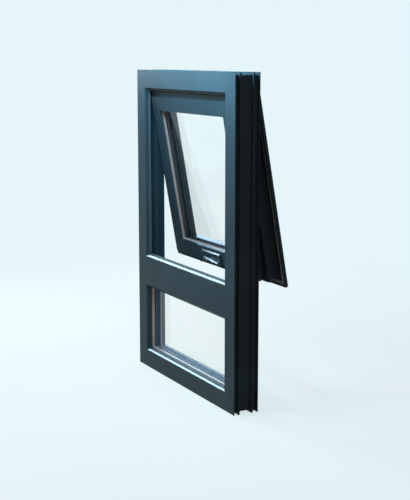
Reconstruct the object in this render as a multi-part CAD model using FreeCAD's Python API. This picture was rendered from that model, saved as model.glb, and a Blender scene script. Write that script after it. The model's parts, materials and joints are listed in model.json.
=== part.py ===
import FreeCAD, Part
import math
import os
from FreeCAD import Placement, Rotation, Vector

# Aluminium window: a fixed double-glazed light below a transom, and above it a
# top-hung sash that opens outward on a head hinge, held by two sliding stays
# and locked by a rod that a folding crank handle drives.
#
# Axes: X across, Y outward through the wall, Z up.  The origin is on the
# underside of the sill, mid-width, on the centre line of the inner seat rib.
# Depths "d" below are measured outward from the frame's interior face.

os.makedirs("parts", exist_ok=True)

# ------------------------------------------------------------------ frame
FRAME_HALF = 400.0            # half the frame's width
FRAME_TOP = 1200.0            # frame height
FRAME_DEPTH = 98.0            # interior face to exterior face
FACE = 69.5                   # width of the interior face of every member
SEAT_DEPTH = 21.0             # depth of the seat rib that carries the origin
REBATE = 38.0                 # perimeter to rebate wall
LEG_BACK = 17.5               # depth of the back of the interior leg
LEG_RISE = 6.0                # the leg's chamfer: height and depth
LEG_BEVEL = 6.5
WALL = 3.0                    # profile wall
CHANNEL = 10.0                # depth of the perimeter channel
TRANSOM_LOW = 342.2           # lower edge of the transom's interior face
TRANSOM_HIGH = 458.4          # upper edge of the transom's interior face
SEAT_RIBS = ((0.0, 3.0), (18.5, 23.5), (71.5, 76.5), (95.0, 98.0))
LEG_FLAT = 12.5               # depth where the leg's tip ends and its groove starts
WEB = (45.0, 48.0)            # wall between a member's two chambers
FIX_DEPTH = 26.5              # wall-fixing holes through the jambs
FIX_HEIGHTS = (560.0, 1080.0)
FIX_RADIUS = 2.75

# rectangles that the two lights' rings are measured inward from
UPPER = (FRAME_HALF, TRANSOM_HIGH - FACE, FRAME_TOP)
LOWER = (FRAME_HALF, 0.0, TRANSOM_LOW + FACE)
WHOLE = (FRAME_HALF, 0.0, FRAME_TOP)

# ------------------------------------------------------------------- sash
SASH_HALF = 313.0             # half width of the sash's interior face
SASH_H = 630.5                # height of the sash's interior face
SASH_FACE = 54.5              # width of the interior face of each member
SASH_ANGLE = 10.085           # opening of the sash in the rest pose, degrees
SASH_DEPTH = 19.85            # depth of the face's top edge, rest pose
SASH_TOP = 1095.95            # height of the face's top edge, rest pose
FLANGE_TRIM = 44.0            # the flange ends this far above the face's top
SASH_LEG_BACK = 10.5          # depth of the back of the glazing leg
SASH_WALL = -22.0             # glazing rebate wall, measured like "s"
FLANGE_BACK = 92.0            # depth of the flange's inner side
SASH_BACK = 100.0             # depth of the sash's exterior face
SASH_GLASS = 21.0             # depth of the glass unit's interior surface
SASH_UNIT = 26.0              # thickness of the glass unit
SASH_EDGE = 30.0              # face edge to the glass unit's edge
SASH = (SASH_HALF, -SASH_H, 0.0)

# ------------------------------------------------------- head hinge, stays
AXIS_DEPTH = 104.0            # hinge axis, parallel to X
AXIS_HEIGHT = 1163.0
KNUCKLE_R = 5.5
PIN_R = 2.5
RUNNING = 0.05                # radial clearance of a running fit
HINGE_HALF = 320.0
KNUCKLES = 9
STAY_LENGTH = 110.0           # hinge axis to stay pivot, and stay arm length
STAY_TILT = 7.0               # slope of the stay track from vertical, degrees
STAY_PIN_R = 3.0

# ------------------------------------------------------------ crank drive
CRANK_U = 56.0                # spindle, across the sash
CRANK_S = -8.0                # spindle, below (+) or above (-) the face edge
ARM_TILT = 3.6                # slope of the folded arm, up to its free end, degrees
PITCH_R = 5.0                 # pinion pitch radius
TEETH = 10
SPINDLE_R = 3.0
ROD_W = (14.5, 22.0)          # lock rod, through the sash
CAM_U = (-150.0, 190.0)       # cam pins on the rod, unlocked
CAM_W = 24.0
CAM_R = 4.0
BASE_HALF = 72.0
BASE_V = (SASH_H - 43.5, SASH_H - 1.0)
BASE_FRONT = -7.5
BASE_THICK = 2.5
COVER_BEVEL = 2.5
COVER_TOP_BEVEL = 4.5
ARM_BACK = -8.3               # back of the folded arm, clear of the cover
ARM_HALF = 6.0                # half the arm's height at the fork
EAR = 2.4                     # thickness of each ear of the fork
EYE_R = 5.0
FOLD_PIN_R = 2.0
FOLD_U = 42.0                 # fold pin, across the sash
FOLD_W = -14.0                # fold pin, through the sash
TIP_U = -52.0                 # free end of the folded arm
KNOB_U = -46.0
KNOB_PIN_R = 1.2


# ---------------------------------------------------------------- helpers
def block(x0, x1, y0, y1, z0, z1):
    return Part.makeBox(x1 - x0, y1 - y0, z1 - z0, Vector(x0, y0, z0))


def rod_between(start, end, radius):
    start, end = Vector(*start), Vector(*end)
    return Part.makeCylinder(radius, (end - start).Length, start, end - start)


def prism(points, direction):
    wire = Part.makePolygon([Vector(*p) for p in points + points[:1]])
    return Part.Face(wire).extrude(Vector(*direction))


def prism_x(points, x0, x1):
    """Extrude (depth, height) points along X."""
    return prism([(x0, d, z) for d, z in points], (x1 - x0, 0, 0))


def fuse(shapes):
    result = shapes[0]
    for shape in shapes[1:]:
        result = result.fuse(shape)
    return result.removeSplitter()


def mirrored(shape):
    return shape.mirror(Vector(0, 0, 0), Vector(1, 0, 0))


def sweep(section, side, ring):
    """Run an (inward, depth) section along one side of a rectangle."""
    half, low, high = ring
    spare = 100.0
    if side in ("top", "bottom"):
        base, sign = (high, -1) if side == "top" else (low, 1)
        start = -half - spare
        points = [(start, d, base + sign * i) for i, d in section]
        return prism(points, (2 * (half + spare), 0, 0))
    base, sign = (half, -1) if side == "right" else (-half, 1)
    start = low - spare
    points = [(base + sign * i, d, start) for i, d in section]
    return prism(points, (0, 0, high - low + 2 * spare))


def mitre_block(side, ring, near, far):
    """The space that one side of a mitred rectangle may fill."""
    half, low, high = ring
    y0, y1 = -60.0, 160.0
    corners = {
        "top": [(-half + near, high - near), (half - near, high - near),
                (half - far, high - far), (-half + far, high - far)],
        "bottom": [(-half + near, low + near), (half - near, low + near),
                   (half - far, low + far), (-half + far, low + far)],
        "left": [(-half + near, low + near), (-half + near, high - near),
                 (-half + far, high - far), (-half + far, low + far)],
        "right": [(half - near, low + near), (half - near, high - near),
                  (half - far, high - far), (half - far, low + far)],
    }[side]
    return prism([(x, y0, z) for x, z in corners], (0, y1 - y0, 0))


def bar(section, side, ring, chambers=()):
    """One mitred side of a rectangular ring, with its hollow chambers."""
    solid = sweep(section, side, ring)
    for chamber in chambers:
        solid = solid.cut(sweep(chamber, side, ring))
    near = min(i for i, d in section) - 1.0
    far = max(i for i, d in section) + 1.0
    return solid.common(mitre_block(side, ring, near, far))


def ring_of(section, ring):
    """Four bars that make one gasket or spacer ring."""
    sides = ("top", "bottom", "left", "right")
    return Part.makeCompound([bar(section, side, ring) for side in sides])


def rectangle(i0, i1, d0, d1):
    return [(i0, d0), (i1, d0), (i1, d1), (i0, d1)]


def outward(points):
    """Turn (outward, w) sash points into the inward form that bar() reads."""
    return [(-s, w) for s, w in points]


def pan_screw(point, direction, length, radius=2.0, head_r=3.5, head_h=1.8):
    """A screw whose head bears at a point and whose shank runs inward."""
    point, direction = Vector(*point), Vector(*direction)
    head = Part.makeCylinder(head_r, head_h, point, direction * -1)
    shank = Part.makeCylinder(radius, length, point, direction)
    return head.fuse(shank)


def pan_shank(point, direction, length, radius=2.0):
    return Part.makeCylinder(radius, length, Vector(*point), Vector(*direction))


SASH_POSE = Placement(Vector(0, SASH_DEPTH, SASH_TOP),
                      Rotation(Vector(1, 0, 0), SASH_ANGLE))
TO_ORIGIN = Vector(0, -SEAT_DEPTH, 0)


def sash_to_frame(shape):
    placed = shape.copy()
    placed.Placement = SASH_POSE.multiply(placed.Placement)
    return placed


def save(name, shape):
    placed = shape.copy()
    placed.translate(TO_ORIGIN)
    placed.exportStep("parts/" + name + ".step")


def save_sash(name, shape):
    save(name, sash_to_frame(shape))


# -------------------------------------------------- frame member sections
def with_ribs(points):
    """Close a frame section with the seat ribs of its perimeter channel."""
    result = list(points)
    for d0, d1 in reversed(SEAT_RIBS):
        ends = [(CHANNEL, d1), (0.0, d1), (0.0, d0), (CHANNEL, d0)]
        if d1 == FRAME_DEPTH:
            ends = ends[1:]
        if d0 == 0.0:
            ends = ends[:-1]
        result += ends
    return result


LEG_TIP = FACE + LEG_RISE
NOTCH = 2.0                   # rise of the gasket groove behind the leg's tip
LEG_NOTCH = FACE + NOTCH
FRAME_SECTION = with_ribs([
    (FACE, 0.0), (LEG_TIP, LEG_BEVEL), (LEG_TIP, LEG_FLAT), (LEG_NOTCH, LEG_FLAT),
    (LEG_NOTCH, LEG_BACK), (REBATE, LEG_BACK), (REBATE, FRAME_DEPTH)])
FRAME_CHAMBERS = [
    rectangle(CHANNEL + WALL, REBATE - WALL, WALL, WEB[0]),
    rectangle(CHANNEL + WALL, REBATE - WALL, WEB[1], FRAME_DEPTH - WALL),
    rectangle(REBATE + WALL, FACE - WALL, WALL, LEG_BACK - WALL),
]

frame_side = {}
for side in ("top", "bottom", "left", "right"):
    frame_side[side] = bar(FRAME_SECTION, side, WHOLE, FRAME_CHAMBERS)

# the transom is coped to the jambs' solid outline
transom_floor_top = TRANSOM_HIGH - FACE + REBATE
transom_floor_low = TRANSOM_LOW + FACE - REBATE
upper_edge = [(0.0, TRANSOM_HIGH), (LEG_BEVEL, TRANSOM_HIGH + LEG_RISE),
              (LEG_FLAT, TRANSOM_HIGH + LEG_RISE), (LEG_FLAT, TRANSOM_HIGH + NOTCH),
              (LEG_BACK, TRANSOM_HIGH + NOTCH), (LEG_BACK, transom_floor_top),
              (FRAME_DEPTH, transom_floor_top)]
mirror_z = TRANSOM_HIGH + TRANSOM_LOW
lower_edge = [(d, mirror_z - z) for d, z in reversed(upper_edge)]
transom = prism_x(upper_edge + lower_edge, -FRAME_HALF, FRAME_HALF)
leg_low = transom_floor_top + WALL
leg_high = TRANSOM_HIGH - WALL
for d0, d1, z0, z1 in (
        (WALL, WEB[0], transom_floor_low + WALL, transom_floor_top - WALL),
        (WEB[1], FRAME_DEPTH - WALL,
         transom_floor_low + WALL, transom_floor_top - WALL),
        (WALL, LEG_BACK - WALL, leg_low, leg_high),
        (WALL, LEG_BACK - WALL, mirror_z - leg_high, mirror_z - leg_low)):
    transom = transom.cut(block(-FRAME_HALF, FRAME_HALF, d0, d1, z0, z1))
jamb_outline = [p for p in FRAME_SECTION if p[0] > CHANNEL]
jamb_outline += [(-5.0, FRAME_DEPTH), (-5.0, 0.0)]
for side in ("left", "right"):
    transom = transom.cut(sweep(jamb_outline, side, WHOLE))

# wall-fixing holes
for side, sign in (("left", -1), ("right", 1)):
    for height in FIX_HEIGHTS:
        hole = rod_between((sign * (FRAME_HALF + 1), FIX_DEPTH, height),
                           (sign * (FRAME_HALF - REBATE - 1), FIX_DEPTH, height),
                           FIX_RADIUS)
        frame_side[side] = frame_side[side].cut(hole)

# corner cleats fill the inner chamber of each frame corner
CLEAT_LEG = 70.0
CLEAT_GAP = 0.5               # cleat to chamber walls, across the frame's depth
cleat_d = (WALL + CLEAT_GAP, WEB[0] - CLEAT_GAP)
cleats = []
for sx in (-1, 1):
    for sz in (-1, 1):
        i0, i1 = CHANNEL + WALL, REBATE - WALL
        x_out, x_in = FRAME_HALF - i0, FRAME_HALF - i1 - CLEAT_LEG
        flat = block(x_in, x_out, *cleat_d, i0, i1)
        upright = block(FRAME_HALF - i1, x_out, *cleat_d, i0, i1 + CLEAT_LEG)
        cleat = flat.fuse(upright).removeSplitter()
        if sx < 0:
            cleat = mirrored(cleat)
        if sz > 0:
            middle = Vector(0, 0, FRAME_TOP / 2)
            cleat = cleat.mirror(middle, Vector(0, 0, 1))
        cleats.append(cleat)
save("frame_cleats", Part.makeCompound(cleats))

# -------------------------------------------------------- frame gaskets
STOP_GASKET = [(LEG_TIP, 11.0), (FACE + 11.0, 20.0), (FACE + 6.5, 20.0),
               (FACE + 5.0, LEG_BACK), (LEG_NOTCH, LEG_BACK),
               (LEG_NOTCH, LEG_FLAT), (LEG_TIP, LEG_FLAT)]
REBATE_GASKET = [(REBATE, 57.7), (REBATE + 6.0, 59.5),
                 (REBATE + 6.0, 65.7), (REBATE, 67.5)]
save("stop_gasket", ring_of(STOP_GASKET, UPPER))
save("rebate_gasket", ring_of(REBATE_GASKET, UPPER))

# ------------------------------------------------------------ fixed light
LIGHT_INNER = 30.0            # depth of the glass unit's interior surface
LIGHT_UNIT = 28.0             # thickness of the glass unit
LIGHT_EDGE = 63.5             # perimeter to the glass unit's edge
GLASS = 6.0
light_outer = LIGHT_INNER + LIGHT_UNIT
STOP_LIP = 18.5               # depth of the back of the stop's lip
STOP_BACK = 25.0
STOP_TOP = 73.5               # perimeter to the top of the stop's body
BEAD_FOOT = 57.5              # perimeter to the glazing pocket's floor
BEAD_GROOVE = 62.0
BEAD_TOP = 85.5
BEAD_BACK = 75.0
OUTER_GASKET = 4.0            # thickness of the exterior glazing gaskets
LIGHT_STOP = [(LEG_TIP, 11.0), (FACE + 14.0, 17.0), (FACE + 14.0, STOP_LIP),
              (STOP_TOP, STOP_LIP), (STOP_TOP, STOP_BACK),
              (REBATE, STOP_BACK), (REBATE, LEG_BACK),
              (LEG_NOTCH, LEG_BACK), (LEG_NOTCH, LEG_FLAT), (LEG_TIP, LEG_FLAT)]
STOP_CHAMBER = rectangle(REBATE + WALL, STOP_TOP - WALL, 19.8, 22.7)
LIGHT_BEAD = [(REBATE, STOP_BACK), (BEAD_FOOT, STOP_BACK),
              (BEAD_FOOT, BEAD_GROOVE), (BEAD_TOP, BEAD_GROOVE),
              (BEAD_TOP, BEAD_BACK), (REBATE, BEAD_BACK)]
BEAD_CHAMBER = [(REBATE + WALL, STOP_BACK + WALL),
                (BEAD_FOOT - WALL, STOP_BACK + WALL),
                (BEAD_FOOT - WALL, BEAD_GROOVE + WALL),
                (BEAD_TOP - WALL, BEAD_GROOVE + WALL),
                (BEAD_TOP - WALL, BEAD_BACK - WALL),
                (REBATE + WALL, BEAD_BACK - WALL)]
for side in ("top", "bottom", "left", "right"):
    save("light_stop_" + side, bar(LIGHT_STOP, side, LOWER, [STOP_CHAMBER]))
    save("light_bead_" + side, bar(LIGHT_BEAD, side, LOWER, [BEAD_CHAMBER]))
save("light_gasket_inner", ring_of(
    rectangle(STOP_TOP, 84.0, STOP_LIP, LIGHT_INNER), LOWER))
save("light_gasket_outer", ring_of(
    rectangle(STOP_TOP, 85.0, light_outer, light_outer + OUTER_GASKET), LOWER))
save("light_spacer", ring_of(
    rectangle(70.0, 83.0, LIGHT_INNER + GLASS, light_outer - GLASS), LOWER))
pane_half = FRAME_HALF - LIGHT_EDGE
pane_top = LOWER[2] - LIGHT_EDGE
save("light_panes", Part.makeCompound([
    block(-pane_half, pane_half, d, d + GLASS, LIGHT_EDGE, pane_top)
    for d in (LIGHT_INNER, light_outer - GLASS)]))
save("light_blocks", Part.makeCompound([
    block(x - 40.0, x + 40.0, 31.0, 57.0, BEAD_FOOT, LIGHT_EDGE)
    for x in (-210.0, 210.0)]))

# ----------------------------------------------------------- sash members
SASH_OUTER = 24.0             # outer wall, beyond the face edge
LIP = 47.5                    # inner side of the flange's lip
SASH_SECTION = outward([
    (-SASH_FACE, 0.0), (0.0, 0.0), (0.0, 11.0), (19.0, 11.0), (19.0, 14.0),
    (8.0, 14.0), (8.0, 38.5), (29.0, 38.5), (29.0, 48.5), (SASH_OUTER, 48.5),
    (SASH_OUTER, FLANGE_BACK), (LIP, FLANGE_BACK), (LIP, 89.0), (57.5, 89.0),
    (56.0, SASH_BACK), (6.0, SASH_BACK), (SASH_WALL, 82.0),
    (SASH_WALL, SASH_LEG_BACK), (-SASH_FACE, SASH_LEG_BACK)])
SASH_CHAMBERS = [
    outward([(-51.5, 2.5), (-3.0, 2.5), (-3.0, 8.0), (-51.5, 8.0)]),
    outward([(-20.5, 13.5), (5.0, 13.5), (5.0, 46.5), (-20.5, 46.5)]),
    outward([(-19.0, 51.5), (21.0, 51.5), (21.0, 97.0), (7.0, 97.0),
             (-19.0, 80.3)]),
]
sash_side = {}
for side in ("top", "bottom", "left", "right"):
    sash_side[side] = bar(SASH_SECTION, side, SASH, SASH_CHAMBERS)
trimmer = block(-500, 500, -10, 130, FLANGE_TRIM, 120)
for side in ("top", "left", "right"):
    sash_side[side] = sash_side[side].cut(trimmer)

# weather seal behind the flange's lip, on the three free sides
FLANGE_SEAL = outward([(37.0, 89.3), (LIP, 89.3), (LIP, FLANGE_BACK),
                       (37.0, FLANGE_BACK)])
save_sash("flange_gasket", Part.makeCompound([
    bar(FLANGE_SEAL, side, SASH).cut(trimmer)
    for side in ("bottom", "left", "right")]))

SASH_CLEAT_LEG = 55.0
CLEAT_S = (-20.5, 5.0)        # cleat, across the member
cleat_w = (14.0, 46.0)
reach = CLEAT_S[0] - SASH_CLEAT_LEG
cleats = []
for sx in (-1, 1):
    for sz in (-1, 1):
        flat = block(SASH_HALF + reach, SASH_HALF + CLEAT_S[1], *cleat_w, *CLEAT_S)
        upright = block(SASH_HALF + CLEAT_S[0], SASH_HALF + CLEAT_S[1], *cleat_w,
                        reach, CLEAT_S[1])
        cleat = flat.fuse(upright).removeSplitter()
        if sx < 0:
            cleat = mirrored(cleat)
        if sz < 0:
            middle = Vector(0, 0, -SASH_H / 2)
            cleat = cleat.mirror(middle, Vector(0, 0, 1))
        cleats.append(cleat)
save_sash("sash_cleats", Part.makeCompound(cleats))

# ---------------------------------------------------------- sash glazing
unit_back = SASH_GLASS + SASH_UNIT
bead_front = unit_back + OUTER_GASKET
SASH_BEAD = outward([(-SASH_FACE, bead_front), (SASH_WALL, bead_front),
                     (SASH_WALL, 82.0), (-SASH_FACE, 72.0)])
SASH_BEAD_CHAMBER = outward([(WALL - SASH_FACE, bead_front + WALL),
                             (SASH_WALL - WALL, bead_front + WALL),
                             (SASH_WALL - WALL, 78.0), (WALL - SASH_FACE, 69.8)])
for side in ("top", "bottom", "left", "right"):
    save_sash("sash_bead_" + side,
              bar(SASH_BEAD, side, SASH, [SASH_BEAD_CHAMBER]))
save_sash("sash_gasket_inner", ring_of(
    outward([(-SASH_FACE, SASH_LEG_BACK), (-44.0, SASH_LEG_BACK),
             (-44.0, SASH_GLASS), (-SASH_FACE, SASH_GLASS)]),
    SASH))
save_sash("sash_gasket_outer", ring_of(
    outward([(-SASH_FACE, unit_back), (-36.0, unit_back), (-36.0, bead_front),
             (-SASH_FACE, bead_front)]),
    SASH))
save_sash("sash_spacer", ring_of(
    outward([(-50.0, SASH_GLASS + GLASS), (-38.0, SASH_GLASS + GLASS),
             (-38.0, unit_back - GLASS), (-50.0, unit_back - GLASS)]),
    SASH))
pane_half = SASH_HALF - SASH_EDGE
save_sash("sash_panes", Part.makeCompound([
    block(-pane_half, pane_half, w, w + GLASS, -SASH_H + SASH_EDGE, -SASH_EDGE)
    for w in (SASH_GLASS, unit_back - GLASS)]))
save_sash("sash_blocks", Part.makeCompound([
    block(u - 40.0, u + 40.0, 22.0, 46.0, -SASH_H - SASH_WALL, -SASH_H + SASH_EDGE)
    for u in (-180.0, 180.0)]))

# -------------------------------------------------------------- head hinge
swing = math.radians(SASH_ANGLE)
dy, dz = AXIS_DEPTH - SASH_DEPTH, AXIS_HEIGHT - SASH_TOP
AXIS_W = dy * math.cos(swing) + dz * math.sin(swing)
AXIS_Z = -dy * math.sin(swing) + dz * math.cos(swing)

pitch = 2 * HINGE_HALF / KNUCKLES
gap = 0.4                     # between neighbouring knuckles
LEAF = 2.5                    # thickness of the hinge leaves
FRAME_SCREW = 12.0            # screw shank lengths
SASH_SCREW = 9.0
leaf_d = FRAME_DEPTH + LEAF
leaf_w = SASH_BACK + LEAF
frame_leaf = [block(-HINGE_HALF, HINGE_HALF, FRAME_DEPTH, leaf_d,
                    AXIS_HEIGHT + 6.5, AXIS_HEIGHT + 30.0)]
sash_leaf = [block(-HINGE_HALF, HINGE_HALF, SASH_BACK, leaf_w, 20.0, FLANGE_TRIM)]
for n in range(KNUCKLES):
    x0 = -HINGE_HALF + n * pitch + (gap / 2 if n else 0.0)
    x1 = -HINGE_HALF + (n + 1) * pitch - (gap / 2 if n < KNUCKLES - 1 else 0.0)
    if n % 2 == 0:
        frame_leaf.append(rod_between((x0, AXIS_DEPTH, AXIS_HEIGHT),
                                      (x1, AXIS_DEPTH, AXIS_HEIGHT), KNUCKLE_R))
        frame_leaf.append(prism_x(
            [(AXIS_DEPTH - 5.4, AXIS_HEIGHT + 1.0),
             (AXIS_DEPTH, AXIS_HEIGHT + 5.4),
             (leaf_d, AXIS_HEIGHT + 10.0),
             (FRAME_DEPTH + 0.5, AXIS_HEIGHT + 10.0)], x0, x1))
    else:
        sash_leaf.append(rod_between((x0, AXIS_W, AXIS_Z),
                                     (x1, AXIS_W, AXIS_Z), KNUCKLE_R))
        sash_leaf.append(prism_x(
            [(AXIS_W + 1.0, AXIS_Z - 5.3), (AXIS_W + 5.4, AXIS_Z),
             (leaf_w, AXIS_Z - 3.0), (leaf_w, FLANGE_TRIM - 4.0),
             (SASH_BACK, FLANGE_TRIM - 4.0), (SASH_BACK, FLANGE_TRIM)], x0, x1))
frame_leaf = fuse(frame_leaf)
sash_leaf = fuse(sash_leaf)
hinge_line = ((-HINGE_HALF, AXIS_DEPTH, AXIS_HEIGHT),
              (HINGE_HALF, AXIS_DEPTH, AXIS_HEIGHT))
pin = rod_between(hinge_line[0], hinge_line[1], PIN_R)
frame_leaf = frame_leaf.cut(pin)
sash_leaf = sash_leaf.cut(rod_between((-HINGE_HALF - 1, AXIS_W, AXIS_Z),
                                      (HINGE_HALF + 1, AXIS_W, AXIS_Z),
                                      PIN_R + RUNNING))

frame_screws = []
sash_screws = []
for x in (-284.0, -142.0, 0.0, 142.0, 284.0):
    point = (x, leaf_d, AXIS_HEIGHT + 18.0)
    frame_screws.append(pan_screw(point, (0, -1, 0), FRAME_SCREW))
    shank = pan_shank(point, (0, -1, 0), FRAME_SCREW)
    frame_leaf = frame_leaf.cut(shank)
    frame_side["top"] = frame_side["top"].cut(shank)
    point = (x, leaf_w, 31.0)
    sash_screws.append(pan_screw(point, (0, -1, 0), SASH_SCREW))
    shank = pan_shank(point, (0, -1, 0), SASH_SCREW)
    sash_leaf = sash_leaf.cut(shank)
    sash_side["top"] = sash_side["top"].cut(shank)
save("hinge_leaf_frame", frame_leaf)
save_sash("hinge_leaf_sash", sash_leaf)
save("hinge_pin", pin)

# ------------------------------------------------------------------ stays
# Axis, stay pivot and shoe make an isosceles triangle, so the shoe slides
# on a straight line through the hinge axis as the sash swings.
tilt = math.radians(STAY_TILT)
TRACK = Placement(Vector(0, AXIS_DEPTH, AXIS_HEIGHT),
                  Rotation(Vector(1, 0, 0), -STAY_TILT))
PIVOT_W = AXIS_W - STAY_LENGTH * math.sin(tilt)
PIVOT_Z = AXIS_Z - STAY_LENGTH * math.cos(tilt)
SHOE_RUN = 2 * STAY_LENGTH * math.cos(swing)
ARM_X = (343.0, 346.0)        # the arm's two faces
ARM_END_R = 7.0
TRACK_X = (352.0, 354.0, 359.0)   # lips' face, lips' back, track floor
PLATE_RUN = (150.0, 250.0)    # track's base plate, along the track from the axis
GUIDE_RUN = (165.0, 235.0)    # its guide channel
TRACK_SCREW = 13.0
BRACKET_SCREW = 12.0
rebate_x = FRAME_HALF - REBATE

lip_x, lip_back, floor_x = TRACK_X
run_z = (-GUIDE_RUN[1], -GUIDE_RUN[0])
track = fuse([
    block(floor_x, rebate_x, -6.0, 6.0, -PLATE_RUN[1], -PLATE_RUN[0]),
    block(floor_x, rebate_x, -7.5, 7.5, *run_z),
    block(lip_x, floor_x, -7.5, -5.5, *run_z),
    block(lip_x, floor_x, 5.5, 7.5, *run_z),
    block(lip_x, lip_back, -7.5, -3.5, *run_z),
    block(lip_x, lip_back, 3.5, 7.5, *run_z)])
track_screws = []
track_shanks = []
for run in (157.0, 243.0):
    point = (floor_x, 0.0, -run)
    track_screws.append(pan_screw(point, (1, 0, 0), TRACK_SCREW))
    track_shanks.append(pan_shank(point, (1, 0, 0), TRACK_SCREW))
for shank in track_shanks:
    track = track.cut(shank)
shoe = fuse([
    block(lip_back + 0.3, floor_x - 0.3, -5.2, 5.2,
          -SHOE_RUN - 12.0, -SHOE_RUN + 12.0),
    block(ARM_X[1] + 0.4, lip_back + 0.3, -3.2, 3.2,
          -SHOE_RUN - 8.0, -SHOE_RUN + 8.0),
    rod_between((ARM_X[0], 0, -SHOE_RUN), (347.0, 0, -SHOE_RUN), STAY_PIN_R)])

pivot = SASH_POSE.multVec(Vector(0, PIVOT_W, PIVOT_Z))
foot = TRACK.multVec(Vector(0, 0, -SHOE_RUN))
along = (foot - pivot).normalize()
across = Vector(0, -along.z, along.y) * ARM_END_R
strip = [pivot + across, foot + across, foot - across, pivot - across]
arm = fuse([
    prism([(ARM_X[0], p.y, p.z) for p in strip], (ARM_X[1] - ARM_X[0], 0, 0)),
    rod_between((ARM_X[0], pivot.y, pivot.z), (ARM_X[1], pivot.y, pivot.z),
                ARM_END_R),
    rod_between((ARM_X[0], foot.y, foot.z), (ARM_X[1], foot.y, foot.z), ARM_END_R)])
for point in (pivot, foot):
    arm = arm.cut(rod_between((340.0, point.y, point.z),
                              (350.0, point.y, point.z), STAY_PIN_R + RUNNING))

wall_x = SASH_HALF + SASH_OUTER
head_x = wall_x + 3.6         # where the bracket's screw heads bear
bracket = fuse([
    block(wall_x, ARM_X[0] - 0.4, 66.0, 88.0, PIVOT_Z - 26.0, PIVOT_Z + 14.0),
    rod_between((ARM_X[0] - 0.4, PIVOT_W, PIVOT_Z),
                (ARM_X[1], PIVOT_W, PIVOT_Z), STAY_PIN_R)])
bracket_screws = []
for w, z in ((71.0, PIVOT_Z + 8.0), (71.0, PIVOT_Z - 20.0)):
    point = (head_x, w, z)
    bracket = bracket.cut(rod_between(point, (ARM_X[0], w, z), 3.7))
    bracket = bracket.cut(pan_shank(point, (-1, 0, 0), BRACKET_SCREW))
    bracket_screws.append(point)

for name, sign in (("right", 1), ("left", -1)):
    def hand(shape):
        return shape if sign > 0 else mirrored(shape)
    placed = track.copy()
    placed.Placement = TRACK
    save("stay_track_" + name, hand(placed))
    placed = shoe.copy()
    placed.Placement = TRACK
    save("stay_shoe_" + name, hand(placed))
    save("stay_arm_" + name, hand(arm))
    save_sash("stay_bracket_" + name, hand(bracket))
    for screw, shank in zip(track_screws, track_shanks):
        screw, shank = screw.copy(), shank.copy()
        screw.Placement = TRACK.multiply(screw.Placement)
        shank.Placement = TRACK.multiply(shank.Placement)
        frame_screws.append(hand(screw))
        frame_side[name] = frame_side[name].cut(hand(shank))
    for point in bracket_screws:
        sash_screws.append(hand(pan_screw(point, (-1, 0, 0), BRACKET_SCREW)))
        sash_side[name] = sash_side[name].cut(
            hand(pan_shank(point, (-1, 0, 0), BRACKET_SCREW)))

# ---------------------------------------------------- crank and lock drive
def below_face(s):
    """Height in sash coordinates of a point s below the face's lower edge."""
    return -SASH_H - s


spindle_z = below_face(CRANK_S)
TRAVEL = PITCH_R * math.pi

# pinion teeth and rack teeth share one pitch line, with running backlash
tooth_pitch = 2 * math.pi * PITCH_R / TEETH
pinion = rod_between((CRANK_U, ROD_W[0], spindle_z),
                     (CRANK_U, ROD_W[1], spindle_z), PITCH_R - 0.75)
teeth = [pinion]
for n in range(TEETH):
    turn = 2 * math.pi * (n + 0.5) / TEETH
    radial = (math.sin(turn), math.cos(turn))
    tangent = (radial[1], -radial[0])
    corners = []
    for reach, half in ((PITCH_R - 1.4, 0.75), (PITCH_R + 0.6, 0.35),
                        (PITCH_R + 0.6, -0.35), (PITCH_R - 1.4, -0.75)):
        corners.append((CRANK_U + radial[0] * reach + tangent[0] * half,
                        ROD_W[0],
                        spindle_z + radial[1] * reach + tangent[1] * half))
    teeth.append(prism(corners, (0, ROD_W[1] - ROD_W[0], 0)))
teeth.append(rod_between((CRANK_U, ARM_BACK - 1.0, spindle_z),
                         (CRANK_U, 40.0, spindle_z), SPINDLE_R))
# boss outside the cover, with the fork that carries the folding arm
arm_low = spindle_z - ARM_HALF
boss = prism([(FOLD_U + 6.0, ARM_BACK, arm_low),
              (CRANK_U + 14.0, ARM_BACK, arm_low),
              (CRANK_U + 16.0, -11.0, arm_low),
              (CRANK_U + 14.0, -20.5, arm_low),
              (FOLD_U + 6.0, -19.6, arm_low)], (0, 0, 2 * ARM_HALF))
fork = [boss]
for low in (arm_low, spindle_z + ARM_HALF - EAR):
    ear = prism([(FOLD_U, ARM_BACK, low), (FOLD_U + 6.5, ARM_BACK, low),
                 (FOLD_U + 6.5, -19.6, low), (FOLD_U, -19.0, low)], (0, 0, EAR))
    tip = rod_between((FOLD_U, FOLD_W, low), (FOLD_U, FOLD_W, low + EAR), EYE_R)
    tip = tip.common(block(FOLD_U - 9, FOLD_U + 9, -19.0, ARM_BACK, low, low + EAR))
    fork += [ear, tip]


def edge_wedge(start, end):
    """Cutter for a 45 degree chamfer on an upper front edge, from end to end."""
    wires = []
    spare = 5.0
    for u, front, top, size in (start, end):
        z = spindle_z + top
        wires.append(Part.makePolygon([
            Vector(u, front - spare, z - size - spare),
            Vector(u, front + size + spare, z + spare),
            Vector(u, front - spare, z + spare),
            Vector(u, front - spare, z - size - spare)]))
    return Part.makeLoft(wires, True, True)


def tilted(shape):
    """Turn a piece of the crank about the spindle to the arm's slope."""
    turned = shape.copy()
    turned.rotate(Vector(CRANK_U, 0, spindle_z), Vector(0, 1, 0), ARM_TILT)
    return turned


fork = fuse(fork).cut(edge_wedge((FOLD_U - 6.0, -19.1, ARM_HALF, 3.2),
                                 (CRANK_U + 17.0, -20.5, ARM_HALF, 3.2)))
spindle = fuse(teeth + [tilted(fork)])
fold_pin = tilted(rod_between((FOLD_U, FOLD_W, arm_low),
                              (FOLD_U, FOLD_W, arm_low + 2 * ARM_HALF), FOLD_PIN_R))
spindle = spindle.cut(fold_pin)
save_sash("crank_spindle", spindle)
save_sash("fold_pin", fold_pin)

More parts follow.
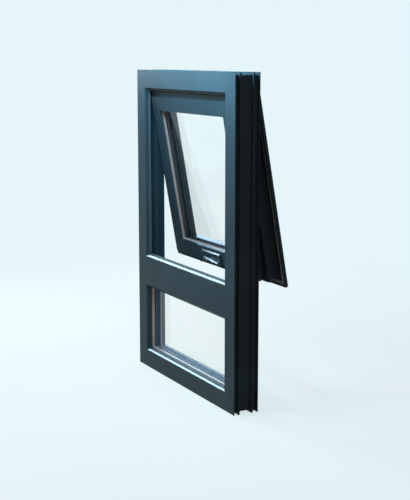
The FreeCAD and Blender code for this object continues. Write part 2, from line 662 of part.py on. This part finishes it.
# lock rod with its rack and two cam pins
rack_z = spindle_z - PITCH_R
rod_top = rack_z - 0.9
rod_low = rod_top - 5.0
root, crest = rod_top - 0.5, rack_z + 0.6
rod_parts = [block(-215.0, 205.0, *ROD_W, rod_low, rod_top)]
for n in range(-2, 8):
    x = CRANK_U + n * tooth_pitch
    corners = [(x - 0.75, ROD_W[0], root), (x - 0.35, ROD_W[0], crest),
               (x + 0.35, ROD_W[0], crest), (x + 0.75, ROD_W[0], root)]
    rod_parts.append(prism(corners, (0, ROD_W[1] - ROD_W[0], 0)))
cam_low = below_face(29.0)
for u in CAM_U:
    rod_parts.append(block(u - 7.0, u + 7.0, ROD_W[0], CAM_W + 4.5,
                           rod_low, rod_top))
    rod_parts.append(rod_between((u, CAM_W, rod_low), (u, CAM_W, cam_low), CAM_R))
save_sash("lock_rod", fuse(rod_parts))

rail = sash_side["bottom"]
for u in CAM_U:
    rail = rail.cut(block(u - TRAVEL - 4.8, u + 4.8, CAM_W - 4.6, CAM_W + 4.6,
                          below_face(9.0), below_face(4.0)))
rail = rail.cut(rod_between((CRANK_U, -1.0, spindle_z),
                            (CRANK_U, 14.0, spindle_z), 4.0))

# bearing block for the spindle and guide for the rod, in the rail's chamber
case = fuse([
    block(CRANK_U - 20.0, CRANK_U + 20.0, 22.6, 46.5,
          below_face(5.0), below_face(-20.5)),
    block(CRANK_U - 20.0, CRANK_U + 20.0, 14.0, 22.6,
          below_face(5.0), rod_low - 0.3)])
case = case.cut(rod_between((CRANK_U, 20.0, spindle_z),
                            (CRANK_U, 40.5, spindle_z), SPINDLE_R + RUNNING))
save_sash("gear_case", case)

# base plate and cover on the bottom rail
base_z0, base_z1 = -BASE_V[1], -BASE_V[0]
base = block(-BASE_HALF, BASE_HALF, -BASE_THICK, 0.0, base_z0, base_z1)
front = BASE_FRONT
bevel_w = front + COVER_BEVEL
cover = prism([(-BASE_HALF, -BASE_THICK, base_z0), (BASE_HALF, -BASE_THICK, base_z0),
               (BASE_HALF, bevel_w, base_z0),
               (BASE_HALF - COVER_BEVEL, front, base_z0),
               (-BASE_HALF + COVER_BEVEL, front, base_z0),
               (-BASE_HALF, bevel_w, base_z0)], (0, 0, base_z1 - base_z0))
cover = cover.common(prism_x([(-BASE_THICK, base_z0), (-BASE_THICK, base_z1),
                              (front + COVER_TOP_BEVEL, base_z1),
                              (front, base_z1 - COVER_TOP_BEVEL),
                              (front, base_z0 + COVER_BEVEL), (bevel_w, base_z0)],
                             -BASE_HALF, BASE_HALF))
# three-cornered recess behind the arm, with sloped walls
mouth = [(-46.0, base_z0 + 17.0), (4.0, base_z0 + 36.5),
         (44.0, base_z0 + 36.5), (44.0, base_z0 + 17.0)]
bottom = [(-28.0, base_z0 + 19.0), (8.0, base_z0 + 33.0),
          (42.0, base_z0 + 33.0), (42.0, base_z0 + 19.0)]
wires = []
for w, outline in ((front, mouth), (front + 4.0, bottom)):
    wires.append(Part.makePolygon([Vector(u, w, z)
                                   for u, z in outline + outline[:1]]))
cover = cover.cut(Part.makeLoft(wires, True, True))
base = base.cut(rod_between((CRANK_U, -3.0, spindle_z), (CRANK_U, 1.0, spindle_z),
                            SPINDLE_R + 0.3))
cover = cover.cut(rod_between((CRANK_U, -8.0, spindle_z), (CRANK_U, -2.0, spindle_z),
                              SPINDLE_R + RUNNING))
head_r, head_h, shank_r, shank_length = 3.2, 1.2, 1.8, 12.0
crank_screws = []
for u in (-66.5, 66.5):
    for z in (base_z0 + 6.0, base_z1 - 9.5):
        point = (u, front + head_h, z)
        crank_screws.append(pan_screw(point, (0, 1, 0), shank_length, shank_r,
                                      head_r, head_h))
        cover = cover.cut(rod_between((u, front - 1.0, z), point, head_r))
        shank = pan_shank(point, (0, 1, 0), shank_length, shank_r)
        base = base.cut(shank)
        cover = cover.cut(shank)
        rail = rail.cut(shank)
sash_side["bottom"] = rail
save_sash("crank_base", base)
save_sash("crank_cover", cover)
save_sash("crank_screws", Part.makeCompound(crank_screws))

# folding arm and its finger knob
arm_body = prism([(FOLD_U, ARM_BACK, spindle_z - 30.0),
                  (FOLD_U, -19.0, spindle_z - 30.0),
                  (0.0, -15.2, spindle_z - 30.0),
                  (TIP_U + 3.0, -12.4, spindle_z - 30.0),
                  (TIP_U, -10.8, spindle_z - 30.0),
                  (TIP_U, ARM_BACK, spindle_z - 30.0)], (0, 0, 60.0))
outline = prism([(FOLD_U - 6.0, -30.0, arm_low),
                 (TIP_U + 4.0, -30.0, spindle_z - 4.5),
                 (TIP_U, -30.0, spindle_z - 2.5),
                 (TIP_U, -30.0, spindle_z + 1.5),
                 (TIP_U + 4.0, -30.0, spindle_z + 3.5),
                 (FOLD_U - 6.0, -30.0, spindle_z + ARM_HALF)], (0, 30, 0))
tongue_half = ARM_HALF - EAR - 0.2
tongue_low, tongue_high = spindle_z - tongue_half, spindle_z + tongue_half
tongue = block(FOLD_U - 8.0, FOLD_U, -30.0, 0.0, tongue_low, tongue_high)
eye = rod_between((FOLD_U, FOLD_W, tongue_low), (FOLD_U, FOLD_W, tongue_high), EYE_R)
eye = eye.common(block(FOLD_U - 9, FOLD_U + 9, -19.0, ARM_BACK,
                       tongue_low, tongue_high))
arm_body = arm_body.common(fuse([outline, tongue]))
# broad chamfer along the arm's upper front edge, tapering to the free end
arm_body = arm_body.cut(edge_wedge((FOLD_U - 6.0, -18.5, ARM_HALF, 6.5),
                                   (TIP_U - 1.0, -12.1, 3.4, 2.6)))
crank_arm = fuse([arm_body, eye])
crank_arm = crank_arm.cut(rod_between((FOLD_U, FOLD_W, spindle_z - 20.0),
                                      (FOLD_U, FOLD_W, spindle_z + 20.0),
                                      FOLD_PIN_R + RUNNING))
knob_z = spindle_z - 0.5
knob_pin = fuse([rod_between((KNOB_U, -9.5, knob_z), (KNOB_U, -18.6, knob_z),
                             KNOB_PIN_R),
                 rod_between((KNOB_U, -18.6, knob_z), (KNOB_U, -19.4, knob_z), 2.2)])
crank_arm = crank_arm.cut(knob_pin)
save_sash("crank_arm", tilted(crank_arm))
save_sash("knob_pin", tilted(knob_pin))
profile = [(0.0, -13.2), (3.4, -13.2), (3.0, -14.6), (3.6, -16.4), (4.2, -17.4),
           (3.8, -18.3), (0.0, -18.5)]
wire = Part.makePolygon([Vector(KNOB_U + r, w, knob_z)
                         for r, w in profile + profile[:1]])
knob = Part.Face(wire).revolve(Vector(KNOB_U, 0, knob_z), Vector(0, 1, 0), 360)
knob = knob.cut(rod_between((KNOB_U, -12.0, knob_z), (KNOB_U, -20.0, knob_z),
                            KNOB_PIN_R + RUNNING))
save_sash("crank_knob", tilted(knob))

# keepers on the transom's rebate floor, one for each cam pin
floor = transom_floor_top
post_d = (38.2, 44.0)         # the post's two sides, across the frame's depth
KEEPER_SCREW = 11.0
keepers = []
for u in CAM_U:
    locked = u - TRAVEL
    keeper = fuse([
        block(locked - 12.0, u + 10.0, 26.0, 50.0, floor, floor + 3.0),
        block(locked - 10.0, locked + 6.5, post_d[0], post_d[1],
              floor + 3.0, floor + 30.0)])
    for x in (locked - 6.0, u + 4.0):
        point = (x, 31.0, floor + 3.0)
        frame_screws.append(pan_screw(point, (0, 0, -1), KEEPER_SCREW))
        shank = pan_shank(point, (0, 0, -1), KEEPER_SCREW)
        keeper = keeper.cut(shank)
        transom = transom.cut(shank)
    keepers.append(keeper)
save("keepers", Part.makeCompound(keepers))

# ------------------------------------------------------------ the members
save("frame_head", frame_side["top"])
save("frame_sill", frame_side["bottom"])
save("frame_jamb_left", frame_side["left"])
save("frame_jamb_right", frame_side["right"])
save("frame_transom", transom)
save("frame_screws", Part.makeCompound(frame_screws))
save_sash("sash_rail_top", sash_side["top"])
save_sash("sash_rail_bottom", sash_side["bottom"])
save_sash("sash_stile_left", sash_side["left"])
save_sash("sash_stile_right", sash_side["right"])
save_sash("sash_screws", Part.makeCompound(sash_screws))
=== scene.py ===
import json
import math

import bmesh
import bpy
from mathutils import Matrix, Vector

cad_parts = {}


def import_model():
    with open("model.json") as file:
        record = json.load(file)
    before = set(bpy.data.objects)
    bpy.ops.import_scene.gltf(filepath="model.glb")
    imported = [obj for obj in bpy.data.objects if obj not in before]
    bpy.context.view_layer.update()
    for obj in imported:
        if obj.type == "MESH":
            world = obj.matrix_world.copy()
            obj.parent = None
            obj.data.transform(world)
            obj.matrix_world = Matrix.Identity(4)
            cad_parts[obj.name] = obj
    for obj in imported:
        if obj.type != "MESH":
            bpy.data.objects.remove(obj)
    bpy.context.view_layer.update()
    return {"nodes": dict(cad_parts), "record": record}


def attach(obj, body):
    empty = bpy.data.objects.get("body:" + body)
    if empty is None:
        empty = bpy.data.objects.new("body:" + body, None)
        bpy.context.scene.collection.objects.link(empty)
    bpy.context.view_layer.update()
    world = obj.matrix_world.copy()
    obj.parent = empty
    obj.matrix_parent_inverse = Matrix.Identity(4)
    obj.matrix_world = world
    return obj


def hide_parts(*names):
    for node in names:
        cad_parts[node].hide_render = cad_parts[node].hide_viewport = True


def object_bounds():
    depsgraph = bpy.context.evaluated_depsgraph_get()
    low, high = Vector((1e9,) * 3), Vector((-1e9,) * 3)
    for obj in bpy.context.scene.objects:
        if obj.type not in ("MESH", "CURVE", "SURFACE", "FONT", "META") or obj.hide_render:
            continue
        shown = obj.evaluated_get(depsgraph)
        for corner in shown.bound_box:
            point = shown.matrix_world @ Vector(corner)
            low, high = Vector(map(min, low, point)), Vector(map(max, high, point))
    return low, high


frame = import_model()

nodes = frame["nodes"]
floor_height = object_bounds()[0][2]
MM = 0.001


# ------------------------------------------------------------- node graphs
def srgb(red, green, blue):
    """A colour as it is seen on screen, 0 to 255, as linear RGBA."""
    def linear(value):
        value /= 255
        return value / 12.92 if value <= 0.04045 else ((value + 0.055) / 1.055) ** 2.4
    return (linear(red), linear(green), linear(blue), 1.0)


class Graph:
    """The emptied node tree of a material or world, and short ways to fill it."""

    def __init__(self, owner, output="ShaderNodeOutputMaterial"):
        owner.use_nodes = True
        self.owner = owner
        self.tree = owner.node_tree
        self.tree.nodes.clear()
        self.output = self.add(output)
        self.coordinates = self.add("ShaderNodeTexCoord").outputs
        self.place = self.coordinates["Object"]

    def add(self, kind, inputs=None, **settings):
        """A node whose inputs are constants or other nodes' sockets."""
        node = self.tree.nodes.new(kind)
        for key, value in settings.items():
            setattr(node, key, value)
        for key, value in (inputs or {}).items():
            if isinstance(value, bpy.types.NodeSocket):
                self.tree.links.new(value, node.inputs[key])
            else:
                node.inputs[key].default_value = value
        return node

    def calculate(self, operation, first, second):
        return self.add("ShaderNodeMath", {0: first, 1: second}, operation=operation).outputs[0]

    def stretch(self, scale):
        return self.add("ShaderNodeMapping", {"Vector": self.place, "Scale": scale}).outputs["Vector"]

    def noise(self, scale, detail=3.0, vector=None):
        return self.add("ShaderNodeTexNoise", {"Vector": vector or self.place, "Scale": scale,
                                               "Detail": detail}).outputs["Fac"]

    def ramp(self, value, low_in, high_in, low_out, high_out, **settings):
        return self.add("ShaderNodeMapRange", {"Value": value, "From Min": low_in, "From Max": high_in,
                                               "To Min": low_out, "To Max": high_out},
                        **settings).outputs["Result"]

    def blend(self, factor, first, second):
        """The first colour at factor 0 and the second at 1."""
        return self.add("ShaderNodeMix", {0: factor, 6: first, 7: second},
                        data_type="RGBA").outputs[2]

    def blend_shaders(self, factor, first, second):
        return self.add("ShaderNodeMixShader", {0: factor, 1: first.outputs[0],
                                                2: second.outputs[0]})

    def bump(self, height, strength, distance):
        return self.add("ShaderNodeBump", {"Height": height, "Strength": strength,
                                           "Distance": distance}).outputs["Normal"]

    def shown_ray(self):
        """1 for the rays that see the background as it is: direct, through glass, in a gloss."""
        path = self.add("ShaderNodeLightPath").outputs
        direct = self.calculate("MAXIMUM", path["Is Camera Ray"], path["Is Transmission Ray"])
        return self.calculate("MAXIMUM", direct, path["Is Glossy Ray"])

    def finish(self, shader):
        self.tree.links.new(shader.outputs[0], self.output.inputs["Surface"])
        return self.owner


def new_graph(name):
    return Graph(bpy.data.materials.new(name))


# ------------------------------------------------------------- materials
def powder_coat(name, shade, tint, rough=(0.32, 0.36), shine=0.03, peel=0.04):
    """Fine-textured coat on aluminium: speckle, cloudy tone and orange peel."""
    g = new_graph(name)
    cloud = g.noise(5.0, 2.0)
    speckle = g.noise(2200.0, 2.0)
    tone = g.calculate("ADD", cloud, g.ramp(speckle, 0.3, 0.7, -0.15, 0.15))
    return g.finish(g.add("ShaderNodeBsdfPrincipled", {
        "Base Color": g.blend(g.ramp(tone, 0.3, 0.75, 0.0, 1.0), shade, tint),
        "Roughness": g.ramp(g.noise(45.0, 3.0), 0.3, 0.7, *rough),
        "Specular IOR Level": shine,
        "Normal": g.bump(speckle, peel, 0.1 * MM)}))


def rubber(name, shade, tint, rough=(0.62, 0.8), grip=0.25, shine=0.5, low_painted_reflection=None):
    """Extruded rubber: dull, with fine drag lines and dusty patches.

    The low colour argument gives a paler, bluish tone to the part below a set height, near the floor:
    a painted reflection.
    """
    g = new_graph(name)
    lines = g.noise(500.0, 2.0, g.stretch((0.2, 1.0, 1.0)))
    dust = g.noise(25.0, 4.0)
    colour = g.blend(g.ramp(dust, 0.35, 0.7, 0.0, 1.0), shade, tint)
    # painted reflection: a paler, bluish colour below a set height
    if low_painted_reflection:
        height = g.add("ShaderNodeSeparateXYZ", {"Vector": g.place}).outputs["Z"]
        colour = g.blend(g.ramp(height, 0.3, 0.4, 0.0, 1.0), low_painted_reflection, colour)
    return g.finish(g.add("ShaderNodeBsdfPrincipled", {
        "Base Color": colour,
        "Roughness": g.ramp(dust, 0.3, 0.7, *rough),
        "Specular IOR Level": shine,
        "Normal": g.bump(lines, grip, 0.3 * MM)}))


def steel(name, shade, tint, rough=(0.24, 0.4)):
    """Brushed zinc-plated steel, its brushing along X."""
    g = new_graph(name)
    brush = g.noise(700.0, 3.0, g.stretch((0.06, 1.0, 1.0)))
    return g.finish(g.add("ShaderNodeBsdfPrincipled", {
        "Base Color": g.blend(brush, shade, tint),
        "Metallic": 1.0,
        "Roughness": g.ramp(brush, 0.3, 0.7, *rough),
        "Normal": g.bump(brush, 0.15, 0.2 * MM)}))


def moulded(name, shade, tint, rough=(0.42, 0.55)):
    """Moulded plastic with a fine spark texture."""
    g = new_graph(name)
    spark = g.noise(1400.0, 2.0)
    return g.finish(g.add("ShaderNodeBsdfPrincipled", {
        "Base Color": g.blend(g.noise(12.0), shade, tint),
        "Roughness": g.ramp(spark, 0.3, 0.7, *rough),
        "Normal": g.bump(spark, 0.2, 0.2 * MM)}))


def clear_glass(name):
    """Float glass: clear, faintly tinted, a little dust, and no caustics."""
    g = new_graph(name)
    dust = g.ramp(g.noise(9.0, 4.0), 0.4, 0.8, 0.0, 1.0)
    tint = g.blend(dust, (1.0, 0.995, 0.985, 1.0), (0.985, 0.988, 0.98, 1.0))
    clear = g.add("ShaderNodeBsdfTransparent", {"Color": tint})
    gloss = g.add("ShaderNodeBsdfGlossy", {"Color": (0.9, 0.95, 1.0, 1.0), "Roughness": 0.03})
    facing = g.add("ShaderNodeFresnel", {"IOR": 1.38}).outputs[0]
    inside = g.add("ShaderNodeNewGeometry").outputs["Backfacing"]
    outside = g.calculate("SUBTRACT", 1.0, inside)
    share = g.calculate("MULTIPLY", facing, outside)
    return g.finish(g.blend_shaders(share, clear, gloss))


SLATE = (srgb(50, 62, 68), srgb(58, 71, 77))
SATIN = (0.26, 0.3)
SMOOTH = (0.2, 0.26)

COAT = powder_coat("coat_anthracite", srgb(52, 62, 66), srgb(60, 71, 75))
BEAD_COAT = powder_coat("coat_bead", *SLATE, SATIN, shine=0.16, peel=0.01)
CRANK_COAT = powder_coat("coat_handle", *SLATE, SMOOTH, shine=0.32)
# rubbed smooth by hands and cleaning
RUBBED_COAT = powder_coat("coat_rubbed", srgb(52, 62, 67), srgb(60, 72, 78), SMOOTH,
                          shine=0.34, peel=0.01)
# bluish base colour for the outer bead's upward ledge: a painted sky reflection
PAINTED_REFLECTION_COAT = powder_coat("coat_painted_reflection", srgb(50, 72, 92), srgb(58, 82, 102), (0.38, 0.42),
                          shine=0.06, peel=0.01)

# the finish of each material slot
FINISH = {
    "frame_coat": COAT,
    "bead_coat": BEAD_COAT,
    "crank_coat": CRANK_COAT,
    # the paler bluish colour near the floor is a painted reflection
    "gasket": rubber("rubber_stop", srgb(52, 56, 58), srgb(66, 70, 72),
                     low_painted_reflection=srgb(128, 152, 168)),
    # pale pinkish base colour: the rubber's tone with a painted reflection in it
    "glazing_gasket": rubber("rubber_glazing_painted_reflection", srgb(182, 148, 134), srgb(198, 164, 150),
                             (0.46, 0.54), grip=0.04, shine=0.35),
    "flange_seal": rubber("rubber_flange", srgb(150, 144, 134), srgb(168, 162, 152)),
    "warm_spacer": moulded("warm_spacer", srgb(12, 15, 16), srgb(18, 22, 23), (0.6, 0.7)),
    # bluish base colour: the spacer's grey with a painted sky reflection
    "spacer": moulded("spacer_bar_painted_reflection", srgb(56, 80, 102), srgb(66, 92, 114), (0.66, 0.72)),
    "glass": clear_glass("float_glass"),
    "setting_plastic": moulded("setting_plastic", srgb(30, 30, 32), srgb(42, 42, 44)),
    "knob_plastic": moulded("knob_plastic", srgb(60, 78, 88), srgb(74, 96, 106)),
    "cleat": steel("cleat_cast", srgb(150, 152, 155), srgb(175, 177, 180), (0.4, 0.6)),
    "screw_steel": steel("screw_steel", srgb(170, 172, 175), srgb(200, 202, 205)),
    "hardware_steel": steel("hardware_steel", srgb(150, 153, 157), srgb(185, 188, 192)),
    "case_zinc": steel("case_zinc", srgb(130, 133, 136), srgb(155, 158, 160), (0.4, 0.55)),
}
# nodes whose own finish differs from their slot's: the sash's gasket is duller, and its pale base
# colour is partly a painted reflection
OWN_FINISH = {
    "sash_gasket_inner": rubber("rubber_sash_painted_reflection", srgb(176, 138, 126), srgb(192, 154, 142),
                                (0.6, 0.7), grip=0.04, shine=0.1),
}


# ----------------------------------------------------------------- pieces
SUBPARTS = frame["record"]["subparts"]
SLOT_OF = {part["node"]: part["material_slot"] for part in SUBPARTS}
BODY_OF = {part: body
           for body, parts in frame["record"]["behaviour"]["bodies"].items()
           for part in parts}

PROFILE_ARRIS = 0.7 * MM                # width of the eased arrises of frame and sash
BEAD_ARRIS = 0.5 * MM                   # the same of glazing stops and beads
SHARP = math.radians(35.0)              # a larger angle between faces is an arris
FLAT = math.radians(1.0)                # a smaller one is no edge at all

PROFILES = ("frame_head", "frame_sill", "frame_jamb_left", "frame_jamb_right",
            "frame_transom", "sash_rail_top", "sash_rail_bottom",
            "sash_stile_left", "sash_stile_right")
BEADS = [kind + side
         for side in ("top", "bottom", "left", "right")
         for kind in ("light_stop_", "light_bead_", "sash_bead_")]


def finish_nodes():
    """The finish of every CAD node that stays in sight."""
    for part in SUBPARTS:
        finish = OWN_FINISH.get(part["node"], FINISH[part["material_slot"]])
        node = nodes[part["node"]]
        if not node.material_slots:
            node.data.materials.append(finish)
        for held in node.material_slots:
            held.material = finish


def clean_copy(name):
    """The node's own mesh with flat faces merged, ready for a bevel."""
    mesh = nodes[name].data.copy()
    mesh.name = name + "_eased"
    bm = bmesh.new()
    bm.from_mesh(mesh)
    bmesh.ops.remove_doubles(bm, verts=bm.verts, dist=0.001 * MM)
    bmesh.ops.dissolve_limit(bm, angle_limit=FLAT, verts=bm.verts, edges=bm.edges)
    for face in bm.faces:
        face.smooth = False
    bm.to_mesh(mesh)
    bm.free()
    mesh.materials.clear()
    mesh.materials.append(FINISH[SLOT_OF[name]])
    return mesh


def softened(name, width):
    """The node's own shape with its long arrises eased, as the extrusions are."""
    piece = bpy.data.objects.new(name + "_eased", clean_copy(name))
    bpy.context.collection.objects.link(piece)
    ease = piece.modifiers.new("ease", "BEVEL")
    ease.width = width
    ease.segments = 2
    ease.limit_method = "ANGLE"
    ease.angle_limit = SHARP
    ease.use_clamp_overlap = True
    ease.harden_normals = False
    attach(piece, BODY_OF[name])
    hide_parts(name)
    return piece


def recoat(piece, coat, face_test):
    """Another coat on the faces whose normal passes the given test; on the outer bead's ledge that
    coat's base colour is a painted reflection.
    """
    mesh = piece.data
    mesh.materials.append(coat)
    for face in mesh.polygons:
        if face_test(face.normal):
            face.material_index = 1


def upward_chamfer(normal):
    """The slope towards the room at the top of a profile's front."""
    return normal.y < -0.3 and normal.z > 0.3


def upward_ledge(normal):
    return normal.z > 0.9


def pieces():
    finish_nodes()
    eased = {name: softened(name, PROFILE_ARRIS) for name in PROFILES}
    for name in BEADS:
        eased[name] = softened(name, BEAD_ARRIS)
    recoat(eased["frame_sill"], RUBBED_COAT, upward_chamfer)
    recoat(eased["frame_transom"], RUBBED_COAT, upward_chamfer)
    recoat(eased["light_stop_bottom"], BEAD_COAT, upward_chamfer)
    # the outer bead's upward ledge takes a painted sky reflection in its base colour
    recoat(eased["light_bead_bottom"], PAINTED_REFLECTION_COAT, upward_ledge)


# ------------------------------------------------------- floor, light, view
BACKDROP = srgb(229, 245, 250)
FLOOR_RADIUS = 3.0
FLOOR_GAP = 0.5 * MM                    # the floor lies this far below the feet


def floor_material():
    """Pale floor that holds a soft shadow and fades into the backdrop."""
    g = new_graph("floor_pale")
    glow = g.add("ShaderNodeEmission", {
        "Color": BACKDROP,
        "Strength": g.ramp(g.shown_ray(), 0.0, 1.0, 0.0, 0.82)})
    matt = g.add("ShaderNodeBsdfDiffuse", {"Color": srgb(136, 116, 106)})
    both = g.add("ShaderNodeAddShader", {0: glow.outputs[0], 1: matt.outputs[0]})
    away = g.add("ShaderNodeVectorMath", {0: g.place}, operation="LENGTH").outputs["Value"]
    clear = g.add("ShaderNodeBsdfTransparent")
    return g.finish(g.blend_shaders(g.ramp(away, 0.35, 1.0, 0.0, 1.0), both, clear))


def floor():
    """A round pale floor that thins out into the backdrop at its rim."""
    mesh = bpy.data.meshes.new("floor")
    bm = bmesh.new()
    bmesh.ops.create_circle(bm, cap_ends=True, segments=96, radius=1.0)
    bm.to_mesh(mesh)
    bm.free()
    mesh.materials.append(floor_material())
    piece = bpy.data.objects.new("floor", mesh)
    piece.scale = (FLOOR_RADIUS, FLOOR_RADIUS, 1.0)
    piece.location = (0.0, 0.0, floor_height - FLOOR_GAP)
    bpy.context.collection.objects.link(piece)


def world():
    """A pale backdrop, and a soft light that is strongest from above at the left."""
    studio = bpy.data.worlds.new("studio")
    bpy.context.scene.world = studio
    g = Graph(studio, "ShaderNodeOutputWorld")
    bright_side = Vector((-0.7, 0.1, 0.7)).normalized()
    toward = g.add("ShaderNodeVectorMath", {0: g.coordinates["Generated"], 1: bright_side},
                   operation="DOT_PRODUCT").outputs["Value"]
    level = g.ramp(toward, -0.75, 0.85, 0.22, 0.45, interpolation_type="SMOOTHSTEP")
    lit = g.add("ShaderNodeBackground", {"Color": srgb(226, 234, 238), "Strength": level})
    shown = g.add("ShaderNodeBackground", {"Color": BACKDROP})
    g.finish(g.blend_shaders(g.shown_ray(), lit, shown))


def area_light(name, place, target, size, watts, colour):
    data = bpy.data.lights.new(name, "AREA")
    data.shape = "RECTANGLE"
    data.size, data.size_y = size
    data.energy = watts
    data.color = colour
    lamp = bpy.data.objects.new(name, data)
    lamp.location = place
    way = Vector(target) - Vector(place)
    lamp.rotation_euler = way.to_track_quat("-Z", "Y").to_euler()
    lamp.visible_camera = False
    bpy.context.collection.objects.link(lamp)


def lamps():
    # two above the head, for the tone that falls down the frame
    area_light("key_top", (0.25, -0.34, 1.52), (0.25, 0.0, 1.0), (0.3, 0.24), 14.5,
               (0.25, 0.7, 1.0))
    area_light("key_left", (-0.24, -0.2, 1.45), (-0.24, 0.0, 1.1), (0.34, 0.1), 2.2,
               (0.1, 0.55, 1.0))
    # a wide one before the room side
    area_light("front_fill", (0.1, -2.7, 0.9), (0.0, 0.0, 0.75), (1.2, 1.2), 18.0,
               (0.8, 0.94, 1.0))
    # one that the upward chamfers mirror, and one that the flat ledges mirror
    area_light("sky_left", (-2.45, -0.75, 1.65), (0.0, -0.02, 0.4), (0.9, 1.1), 60.0,
               (0.6, 0.87, 1.0))
    area_light("ledge_back", (-2.6, 1.4, 1.03), (0.0, 0.0, 0.4), (0.8, 1.04), 29.0,
               (0.38, 0.68, 1.0))


def camera():
    """The view from the right of the room side, a little above mid height."""
    azimuth, elevation = math.radians(62.326), math.radians(9.642)
    back = Vector((math.sin(azimuth) * math.cos(elevation),
                   -math.cos(azimuth) * math.cos(elevation),
                   math.sin(elevation)))
    data = bpy.data.cameras.new("camera")
    data.sensor_width = 36.0
    data.lens = 80.16
    data.shift_y = -0.011
    eye = bpy.data.objects.new("camera", data)
    eye.location = (3.6959, -1.8645, 1.2556)
    eye.rotation_euler = (-back).to_track_quat("-Z", "Y").to_euler()
    bpy.context.collection.objects.link(eye)
    bpy.context.scene.camera = eye


pieces()
floor()
world()
camera()
lamps()
bpy.context.scene.view_settings.view_transform = "Standard"
